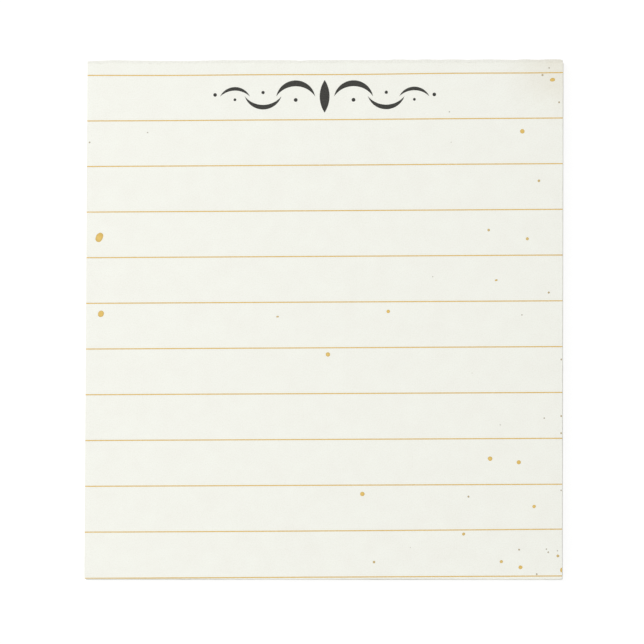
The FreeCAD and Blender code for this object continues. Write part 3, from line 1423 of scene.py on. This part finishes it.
@dataclass
class HeadingOrnament:
    """The heading ornament: a lozenge, with a wave and dots that fade to each side.

    Args:
        relief: The relief of the sheet that it is printed on.
        strokes: Ends of each stroke as shares of the half width, and the rise of its two arcs
            as shares of the half rise.
        dots: Place and radius of each dot, in shares of the same.
        lozenge: Half width of the lozenge, as a share of the half rise.
        drop: Head of the sheet to the ornament's middle.
        width: Its width from end to end.
        rise: Its height.
        thickness: Thickness of the ink.
        steps: Stretches along and across a stroke.
        dot_sides: Points around a dot.
        ink: The charcoal ink.
    """

    relief: Relief
    strokes: tuple[tuple[float, float, float, float], ...] = (
        (0.085, 0.430, 0.98, 0.62),
        (0.385, 0.710, -0.80, -0.52),
        (0.665, 0.930, 0.58, 0.36),
    )
    dots: tuple[tuple[float, float, float], ...] = (
        (0.257, -0.22, 0.115),
        (0.548, 0.24, 0.100),
        (0.798, -0.20, 0.085),
        (0.975, 0.10, 0.110),
    )
    lozenge: float = 0.30
    drop: float = 10.4 * MM
    width: float = 66.0 * MM
    rise: float = 9.6 * MM
    thickness: float = 0.025 * MM
    steps: tuple[int, int] = (44, 4)
    dot_sides: int = 30
    ink: PrintedInk = PrintedInk(
        name="charcoal_printing_ink", full="#343431", worn="#45453F", grain_mm=0.5,
        roughness=0.7, specular=0.25,
    )

    def build(self) -> Piece:
        """Print the ornament on the sheet and dress it.

        Returns:
            The ornament.
        """
        half_width = self.width / 2
        half_rise = self.rise / 2
        parts = [self.print_lozenge(half_rise)]
        for side in (-1, 1):
            for near, far, outer, inner in self.strokes:
                start, end = sorted((side * near * half_width, side * far * half_width))
                crown = Arc(start, end, outer * half_rise)
                belly = Arc(start, end, inner * half_rise)
                parts.append(self.print_stroke(crown, belly))
            for across, up, radius in self.dots:
                middle = Vector((side * across * half_width, up * half_rise, 0.0))
                parts.append(self.print_dot(middle, radius * half_rise))
        printed = join(parts, "charcoal_ornament")
        return dress(printed, self.ink.make(), Slot.CHARCOAL, "heading_ornament")

    def lay(self, part: Piece, shape: Callable[[Vector], Vector]) -> None:
        """Shape a flat part and set it on the sheet.

        Args:
            part: The part.
            shape: Gives a point's place about the ornament's middle.
        """
        raise_plate(part, self.thickness)
        centre = BLOCK.high.y - self.drop

        def place(at: Vector) -> Vector:
            """Set a point on the sheet.

            Args:
                at: The point on the plain part.

            Returns:
                Its place.
            """
            flat = shape(at)
            y = flat.y + centre
            return Vector((flat.x, y, at.z + self.relief.level(flat.x, y)))

        move_vertices(part, place)
        with editing(part):
            bpy.ops.mesh.select_all(action="SELECT")
            bpy.ops.mesh.remove_doubles(threshold=TOUCH)
            bpy.ops.mesh.normals_make_consistent(inside=False)

    def print_stroke(self, crown: Arc, belly: Arc) -> Piece:
        """Print one crescent stroke.

        Args:
            crown: Its outer arc.
            belly: Its inner arc.

        Returns:
            The stroke as an object.
        """
        stroke = new_grid("stroke", self.steps)

        def shape(at: Vector) -> Vector:
            """Bend the unit square into the crescent.

            Args:
                at: A point of the square.

            Returns:
                The point's place about the ornament's middle.
            """
            outer = crown.point(at.x + 0.5)
            inner = belly.point(at.x + 0.5)
            across = at.y + 0.5
            x = inner[0] + (outer[0] - inner[0]) * across
            y = inner[1] + (outer[1] - inner[1]) * across
            return Vector((x, y, 0.0))

        self.lay(stroke, shape)
        return stroke

    def print_lozenge(self, half_rise: float) -> Piece:
        """Print the upright lozenge in the middle, whose sides are arcs.

        Args:
            half_rise: Half the ornament's height.

        Returns:
            The lozenge as an object.
        """
        lozenge = new_grid("lozenge", self.steps)
        side = Arc(-half_rise, half_rise, self.lozenge * half_rise)

        def shape(at: Vector) -> Vector:
            """Bend the unit square into the lozenge, which stands upright."""
            along, out = side.point(at.x + 0.5)
            return Vector((-2 * at.y * out, along, 0.0))

        self.lay(lozenge, shape)
        return lozenge

    def print_dot(self, middle: Vector, radius: float) -> Piece:
        """Print one round dot.

        Args:
            middle: Its place about the ornament's middle.
            radius: Its radius.

        Returns:
            The dot as an object.
        """
        dot = new_piece(
            "dot", bpy.ops.mesh.primitive_circle_add, vertices=self.dot_sides, radius=radius,
            fill_type="NGON",
        )
        self.lay(dot, lambda at: Vector((at.x + middle.x, at.y + middle.y, 0.0)))
        return dot


@dataclass(frozen=True)
class Bead:
    """A place where the glue lies thicker or thinner.

    Args:
        place: Its place along the head, from the middle.
        reach: How far it fades to each side.
        rise: How much thicker the glue is there.
    """

    place: float
    reach: float
    rise: float

    def at(self, x: float) -> float:
        """Give the bead's share of the glue at a place."""
        return self.rise * math.exp(-(((x - self.place) / self.reach) ** 2))


BEADS = (
    Bead(-70 * MM, 3.0 * MM, -0.16 * MM),
    Bead(-61.5 * MM, 4.0 * MM, 0.11 * MM),
    Bead(-43 * MM, 8.5 * MM, -0.17 * MM),
    Bead(-28.5 * MM, 2.5 * MM, 0.07 * MM),
    Bead(-17.5 * MM, 2.5 * MM, 0.07 * MM),
    Bead(-6.8 * MM, 2.0 * MM, -0.12 * MM),
    Bead(21.6 * MM, 2.0 * MM, 0.17 * MM),
    Bead(30.0 * MM, 2.8 * MM, 0.12 * MM),
    Bead(37.6 * MM, 2.2 * MM, 0.17 * MM),
    Bead(49.0 * MM, 5.0 * MM, 0.07 * MM),
    Bead(55.7 * MM, 1.5 * MM, -0.08 * MM),
    Bead(58.6 * MM, 1.8 * MM, 0.14 * MM),
    Bead(67.0 * MM, 3.0 * MM, 0.11 * MM),
)


@dataclass
class GlueFilm:
    """The brushed film of padding glue on the head face of sheets and board.

    Args:
        relief: The relief of the sheet that the film ends at.
        thinnest: Thickness of the film between two brush marks.
        usual: Thickness between the beads.
        ripple: Depth of the brush marks.
        broad: Length along the pad and up its face of the broad brush marks.
        broad_share: Their share of that depth.
        fine: Length along the pad and up its face of the fine brush marks.
        fine_share: Their share of that depth.
        steps: Stretches along the pad and up its face.
        corner: Radius of its upright outer edges.
        thin_end: Square of the share of its thickness that is left at its very ends.
        smooth_below: Angle between faces that still looks smooth, in degrees.
    """

    relief: Relief
    thinnest: float = 0.06 * MM
    usual: float = 0.28 * MM
    ripple: float = 0.07 * MM
    broad: tuple[float, float] = (4 * MM, 1.5 * MM)
    broad_share: float = 0.7
    fine: tuple[float, float] = (1.2 * MM, 2.0 * MM)
    fine_share: float = 0.4
    steps: tuple[int, int] = (260, 14)
    corner: float = 0.3 * MM
    thin_end: float = 0.04
    smooth_below: float = 40.0

    def build(self) -> Piece:
        """Model the film and dress it.

        Returns:
            The film.
        """
        film = new_piece(
            "padding_glue_film", bpy.ops.mesh.primitive_grid_add,
            x_subdivisions=self.steps[0], y_subdivisions=self.steps[1], size=1.0,
            rotation=(math.radians(90), 0.0, 0.0),
        )
        bpy.ops.object.transform_apply(location=False, rotation=True, scale=False)
        with editing(film, "FACE"):
            bpy.ops.mesh.select_all(action="SELECT")
            bpy.ops.transform.resize(value=(FILM.span.x, 1.0, FILM.span.z))
            bpy.ops.mesh.extrude_region_move(
                TRANSFORM_OT_translate={"value": (0, FILM.span.y, 0)}
            )
            bpy.ops.mesh.select_all(action="SELECT")
            bpy.ops.mesh.normals_make_consistent(inside=False)
        move_vertices(film, self.place)
        with editing(film):
            bpy.ops.mesh.select_all(action="SELECT")
            bpy.ops.mesh.faces_shade_smooth()
        bpy.ops.object.shade_smooth_by_angle(angle=math.radians(self.smooth_below))
        return dress(film, PaddingGlue().make(), Slot.GLUE, "glue_binding")

    def thickness(self, x: float, z: float) -> float:
        """Give the film's thickness at a place on the head face.

        Args:
            x: The place along the pad.
            z: The place up its face.

        Returns:
            The thickness.
        """
        brushed = noise.noise(Vector((x / self.broad[0], z / self.broad[1], 4.0)))
        fine = noise.noise(Vector((x / self.fine[0], z / self.fine[1], 9.0)))
        full = self.usual + sum(bead.at(x) for bead in BEADS)
        full += self.ripple * (self.broad_share * brushed + self.fine_share * fine)
        full = min(max(full, self.thinnest), FILM.span.y)
        from_end = FILM.high.x - abs(x)
        if from_end < self.corner:
            full *= math.sqrt(max(1 - (1 - from_end / self.corner) ** 2, self.thin_end))
        return full

    def place(self, at: Vector) -> Vector:
        """Set a point of the film against the head face.

        Args:
            at: The point on the plain film.

        Returns:
            Its place.
        """
        x = at.x + FILM.middle.x
        z = at.z + FILM.middle.z
        share = at.z / FILM.span.z + 0.5
        z -= share * self.relief.depth(x, FILM.low.y)
        outside = at.y > FILM.span.y / 2
        y = FILM.low.y + (self.thickness(x, z) if outside else 0.0)
        return Vector((x, y, z))


@dataclass(frozen=True)
class Fibres:
    """Sizes of the loose fibres that lie across the torn edge.

    Args:
        count: How many there are.
        sides: Sides of a fibre's section.
        radius: Radius of a fibre, drawn thicker than the real 0.01 mm so that it shows.
        length_mm: Shortest and longest.
        heading: How much their headings differ, in radians.
        bend: Furthest that one bends, in radians.
        lift_mm: Lowest and highest that the middle of one stands off the sheet.
        root: How far behind the torn edge they start.
        narrowing: Share of its width that a fibre keeps along the sheet.
        margin: How far from the ends of the CAD strip they stay.
        seed: Seed of their places.
    """

    count: int = 220
    sides: int = 4
    radius: float = 0.012 * MM
    length_mm: tuple[float, float] = (0.25, 0.75)
    heading: float = 0.8
    bend: float = 0.5
    lift_mm: tuple[float, float] = (0.02, 0.07)
    root: float = 0.12 * MM
    narrowing: float = 0.2
    margin: float = 1 * MM
    seed: int = 23


@dataclass
class TornStrip:
    """What torn-off sheets left in the glue: a ragged strip of paper with loose fibres.

    Args:
        relief: The relief of the sheet under it.
        film: The film that holds it.
        reach: Furthest that it reaches over the top sheet.
        usual: Share of that reach that it has on average.
        least: Smallest share of that reach.
        tears: Length of the tears along its front edge, and how much of the reach they take.
        lump: Length and width of its lumps.
        lump_rise: How much its height varies from lump to lump, as a share.
        edge_share: Share of its height at its front and back edge.
        edge_rate: How fast it rises from there.
        seat: Share of the glue's thickness that it covers.
        lowest: Height of its thinnest places.
        sunk: How deep it is sunk in the sheet under it.
        end: How far from the ends of the CAD strip it stops, on both ends together.
        steps: Stretches along the pad and across the strip.
        fibres: Its loose fibres.
    """

    relief: Relief
    film: GlueFilm
    reach: float = 0.68 * MM
    usual: float = 0.80
    least: float = 0.20
    tears: tuple[tuple[float, float], ...] = ((11 * MM, 0.32), (2.6 * MM, 0.22), (0.6 * MM, 0.14))
    lump: tuple[float, float] = (2.2 * MM, 0.6 * MM)
    lump_rise: float = 0.4
    edge_share: float = 0.15
    edge_rate: float = 3.0
    seat: float = 0.92
    lowest: float = 0.02 * MM
    sunk: float = 0.01 * MM
    end: float = 0.5 * MM
    steps: tuple[int, int] = (420, 6)
    fibres: Fibres = Fibres()

    def build(self) -> Piece:
        """Model the strip with its fibres and dress it.

        Returns:
            The strip.
        """
        strip = new_grid("strip", self.steps)
        raise_plate(strip, 1.0)
        move_vertices(strip, self.place)
        chance = random.Random(self.fibres.seed)
        hairs = [self.add_fibre(chance) for _ in range(self.fibres.count)]
        torn = join([strip] + hairs, "torn_strip")
        return dress(torn, TornPaper().make(), Slot.TORN, "torn_stub")

    def front(self, x: float) -> float:
        """Give the strip's ragged front edge.

        Args:
            x: The place along the pad.

        Returns:
            The edge's y.
        """
        share = self.usual
        for (length, much), row in zip(self.tears, (2.0, 5.0, 7.0)):
            share += much * noise.noise(Vector((x / length, row, 0.0)))
        return BLOCK.high.y - self.reach * min(max(share, self.least), 1.0)

    def back(self, x: float) -> float:
        """Give the strip's back edge, on top of the glue, as y."""
        return BLOCK.high.y + self.seat * self.film.thickness(x, FILM.high.z)

    def place(self, at: Vector) -> Vector:
        """Set a point of the unit block into the strip.

        Args:
            at: The point of the block.

        Returns:
            Its place.
        """
        x = STUB.middle.x + at.x * (STUB.span.x - self.end)
        front = self.front(x)
        y = front + (at.y + 0.5) * (self.back(x) - front)
        ground = self.relief.level(x, min(y, BLOCK.high.y))
        lump = noise.noise(Vector((x / self.lump[0], y / self.lump[1], 3.0)))
        lumps = 0.5 + self.lump_rise * lump
        inwards = min(1.0, self.edge_rate * (0.5 - abs(at.y)) + self.edge_share)
        height = self.lowest + (STUB.span.z - 3 * self.lowest) * lumps * inwards
        return Vector((x, y, ground + (height if at.z > 0.5 else -self.sunk)))

    def add_fibre(self, chance: random.Random) -> Piece:
        """Add one loose fibre that lies across the torn edge.

        Args:
            chance: Source of its place and bend.

        Returns:
            The fibre as an object.
        """
        sizes = self.fibres
        x = chance.uniform(STUB.low.x + sizes.margin, STUB.high.x - sizes.margin)
        length = chance.uniform(*sizes.length_mm) * MM
        heading = chance.gauss(0.0, sizes.heading)
        bend = chance.uniform(-sizes.bend, sizes.bend)
        lift = chance.uniform(*sizes.lift_mm) * MM
        front = self.front(x)
        hair = new_piece(
            "fibre", bpy.ops.mesh.primitive_cylinder_add, vertices=sizes.sides,
            radius=sizes.radius, depth=1.0,
        )
        with editing(hair):
            bpy.ops.mesh.select_all(action="SELECT")
            bpy.ops.mesh.bisect(
                plane_co=(0.0, 0.0, 0.0), plane_no=(0.0, 0.0, 1.0), use_fill=False
            )

        def place(at: Vector) -> Vector:
            """Lay a point of the upright cylinder down along the fibre's bent line.

            Args:
                at: The point on the cylinder.

            Returns:
                Its place.
            """
            share = at.z + 0.5
            angle = heading + bend * share
            along = length * share
            x_at = x + along * math.sin(angle) + at.x
            y_at = front + sizes.root - along * math.cos(angle) + at.y * sizes.narrowing
            height = lift * math.sin(math.pi * share) + sizes.radius + at.y
            return Vector((x_at, y_at, self.relief.level(x_at, y_at) + height))

        move_vertices(hair, place)
        return hair


@dataclass(frozen=True)
class Softbox:
    """A soft square lamp that points at the pad.

    Args:
        name: Name of the lamp.
        place: Where it hangs.
        size: Its side.
        power: Its power in watts.
    """

    name: str
    place: Vector
    size: float
    power: float

    def hang(self) -> None:
        """Hang the lamp."""
        light = bpy.data.lights.new(self.name, "AREA")
        light.size = self.size
        light.energy = self.power
        lamp = bpy.data.objects.new(self.name, light)
        bpy.context.collection.objects.link(lamp)
        lamp.location = self.place
        lamp.rotation_euler = (-self.place).to_track_quat("-Z", "Y").to_euler()


@dataclass
class Studio:
    """The pale floor, the soft light and the camera at the photograph's angle.

    Args:
        lamps: The lamps.
        room: Strength of the even light from all around.
        floor_size: Side of the floor.
        floor_drop: How far the floor lies below the pad.
        floor_colour: Hex colour that the floor lights the pad with.
        floor_shade: How strongly the floor that the camera sees takes a shadow.
        floor_glow: How strongly it glows besides, so that it looks white.
        aim: The point that the camera looks at.
        distance: Camera to that point.
        tilt: How far the camera leans towards the foot, in degrees.
        lean: How far it leans to the right, in degrees.
        roll: How far it is turned about its own axis, in degrees.
        focal_pixels: Focal length in pixels of the square frame.
    """

    WHITE = (1.0, 1.0, 1.0, 1.0)

    lamps: tuple[Softbox, ...] = (
        Softbox("key_softbox", Vector((-0.62, 0.40, 0.92)), 0.9, 6.15),
        Softbox("overhead_softbox", Vector((-0.25, 0.0, 1.1)), 1.3, 1.2),
        Softbox("foot_softbox", Vector((-0.2, -1.0, 0.40)), 0.8, 2.6),
    )
    room: float = 0.56
    floor_size: float = 6.0
    floor_drop: float = 0.02 * MM
    floor_colour: str = "#F4F4F4"
    floor_shade: float = 0.18
    floor_glow: float = 0.875
    aim: Vector = Vector((-0.5133 * MM, -1.0051 * MM, 5.6 * MM))
    distance: float = 2765.4 * MM
    tilt: float = 5.0
    lean: float = 3.1443
    roll: float = 0.2196
    focal_pixels: float = 9455.1

    def build(self) -> None:
        """Set up the floor, the light and the camera."""
        scene = bpy.context.scene
        scene.view_settings.view_transform = "Standard"
        self.lay_floor()
        self.light_world(scene)
        for lamp in self.lamps:
            lamp.hang()
        self.place_camera(scene)

    def lay_floor(self) -> None:
        """Lay a floor that looks white and still takes the pad's soft shadow."""
        floor = new_piece(
            "floor", bpy.ops.mesh.primitive_plane_add, size=self.floor_size,
            location=(0.0, 0.0, -self.floor_drop),
        )
        material = bpy.data.materials.new("studio_floor")
        material.use_nodes = True
        tree = material.node_tree
        tree.nodes.clear()
        shade_colour = (self.floor_shade, self.floor_shade, self.floor_shade, 1.0)
        plain = add_node(tree, "ShaderNodeBsdfDiffuse", {"Color": linear(self.floor_colour)})
        shade = add_node(tree, "ShaderNodeBsdfDiffuse", {"Color": shade_colour})
        glow = add_node(
            tree, "ShaderNodeEmission", {"Color": self.WHITE, "Strength": self.floor_glow}
        )
        seen = add_node(
            tree, "ShaderNodeAddShader", links={0: shade.outputs[0], 1: glow.outputs[0]}
        )
        mixed = add_node(
            tree,
            "ShaderNodeMixShader",
            links={0: self.seen_directly(tree), 1: plain.outputs[0], 2: seen.outputs[0]},
        )
        add_node(tree, "ShaderNodeOutputMaterial", links={"Surface": mixed.outputs[0]})
        floor.data.materials.append(material)

    @staticmethod
    def seen_directly(tree: Tree) -> Socket:
        """Say whether a ray comes from the camera, or from a mirror or glass that shows it.

        Args:
            tree: The node tree to add to.

        Returns:
            One where it does, and otherwise zero.
        """
        path = add_node(tree, "ShaderNodeLightPath")
        seen = path.outputs["Is Camera Ray"]
        for kind in ("Is Glossy Ray", "Is Transmission Ray"):
            links = {0: seen, 1: path.outputs[kind]}
            seen = add_node(tree, "ShaderNodeMath", {"operation": "MAXIMUM"}, links).outputs[0]
        return seen

    def light_world(self, scene: bpy.types.Scene) -> None:
        """Light the room evenly, with white behind the floor.

        Args:
            scene: The scene.
        """
        world = bpy.data.worlds.new("studio")
        scene.world = world
        world.use_nodes = True
        tree = world.node_tree
        tree.nodes.clear()
        room, behind = [
            add_node(tree, "ShaderNodeBackground", {"Color": self.WHITE, "Strength": strength})
            for strength in (self.room, 1.0)
        ]
        mixed = add_node(
            tree,
            "ShaderNodeMixShader",
            links={0: self.seen_directly(tree), 1: room.outputs[0], 2: behind.outputs[0]},
        )
        add_node(tree, "ShaderNodeOutputWorld", links={"Surface": mixed.outputs[0]})

    def place_camera(self, scene: bpy.types.Scene) -> None:
        """Place the camera above the pad, nearly straight down.

        Args:
            scene: The scene.
        """
        tilt = math.radians(self.tilt)
        lean = math.radians(self.lean)
        back = Vector((math.sin(lean), -math.sin(tilt), math.cos(tilt) * math.cos(lean)))
        back.normalize()
        right = Vector((0.0, 1.0, 0.0)).cross(back).normalized()
        up = back.cross(right)
        upright = Matrix((right, up, back)).transposed()
        turned = upright @ Matrix.Rotation(math.radians(self.roll), 3, "Z")
        lens = bpy.data.cameras.new("camera")
        lens.sensor_width = SENSOR_WIDTH_MM
        lens.lens = self.focal_pixels / FRAME_PIXELS * SENSOR_WIDTH_MM
        camera = bpy.data.objects.new("camera", lens)
        bpy.context.collection.objects.link(camera)
        camera.matrix_world = Matrix.Translation(self.aim + back * self.distance) @ turned.to_4x4()
        scene.camera = camera


def main() -> None:
    """Build the pad from its back to its print, and the studio around it."""
    logging.basicConfig(level=logging.INFO, format="%(name)s: %(message)s")
    relief = Relief()
    paper = WritingPaper().make()
    film = GlueFilm(relief)
    pieces = [
        BackingBoard().build(),
        SheetBlock(relief).build(paper),
        TopSheet(relief).build(paper),
        film.build(),
        TornStrip(relief, film).build(),
        RuledLines(relief).build(),
        Specks(relief).build(),
        HeadingOrnament(relief).build(),
    ]
    for piece in pieces:
        LOG.info("%s: %d faces", piece.name, len(piece.data.polygons))
    Studio().build()


if __name__ == "__main__":
    main()
